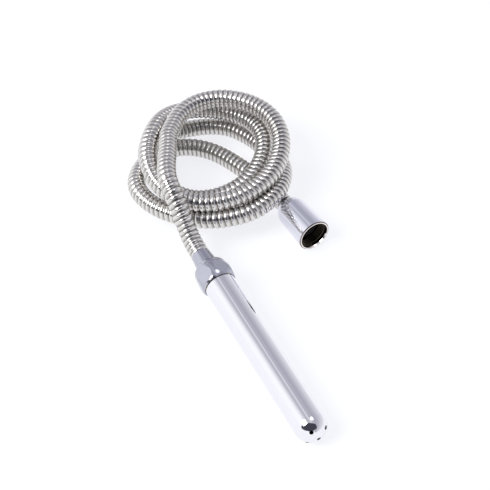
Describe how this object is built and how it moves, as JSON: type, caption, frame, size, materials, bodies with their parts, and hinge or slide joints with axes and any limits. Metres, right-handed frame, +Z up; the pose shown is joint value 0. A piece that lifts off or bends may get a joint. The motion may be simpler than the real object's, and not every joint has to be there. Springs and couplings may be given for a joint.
{
  "type": "handheld bath sprayer",
  "caption": "Slim metal spray wand with a round perforated nose, a hex nut, a coiled flexible metal hose and a conical tap nut.",
  "frame": {"origin": "on the floor under the middle of the wand, between its nose and the end of the hose tail", "axes": "+X towards the wand's nose, +Z up, +Y towards the conical nut's side"},
  "size_m": [0.3061, 0.1321, 0.0525],
  "materials": {
    "chrome": "polished",
    "hose_steel": "polished interlocked strip",
    "tail_brass": "turned",
    "seal_rubber": "matt",
    "liner_rubber": "matt"
  },
  "bodies": {
    "hose": {"wand_washer": "seal_rubber", "wand_tail": "tail_brass", "wand_ferrule": "chrome", "wand_liner_end": "liner_rubber", "hose_run_wand": "hose_steel", "hose_coil": "hose_steel", "hose_run_across": "hose_steel", "hose_run_inlet": "hose_steel", "inlet_liner_end": "liner_rubber", "inlet_ferrule": "chrome", "inlet_tail": "tail_brass", "inlet_washer": "seal_rubber"},
    "wand_nut": {"hex_nut": "chrome"},
    "wand": {"wand_tube": "chrome", "wand_inlet": "tail_brass"},
    "tap_nut": {"cone_nut": "chrome"}
  },
  "joints": [
    {"name": "wand_nut_turn", "type": "hinge", "parent": "hose", "child": "wand_nut", "pos_m": [-0.04571, 0, 0.018], "axis": [-0.9983, 0, 0.0579], "range_deg": [0, 1800]},
    {"name": "wand_unscrew", "type": "slide", "parent": "hose", "child": "wand", "axis": [0.9983, 0, -0.0579], "range_m": [0, 0.00907]},
    {"name": "tap_nut_spin", "type": "hinge", "parent": "hose", "child": "tap_nut", "pos_m": [-0.05964, 0.08274, 0.01242], "axis": [0.9982, 0.0465, 0.0384], "continuous": true}
  ],
  "couplings": [
    {"joint": "wand_unscrew", "follows": "wand_nut_turn", "m_per_rad": 0.00028871}
  ]
}
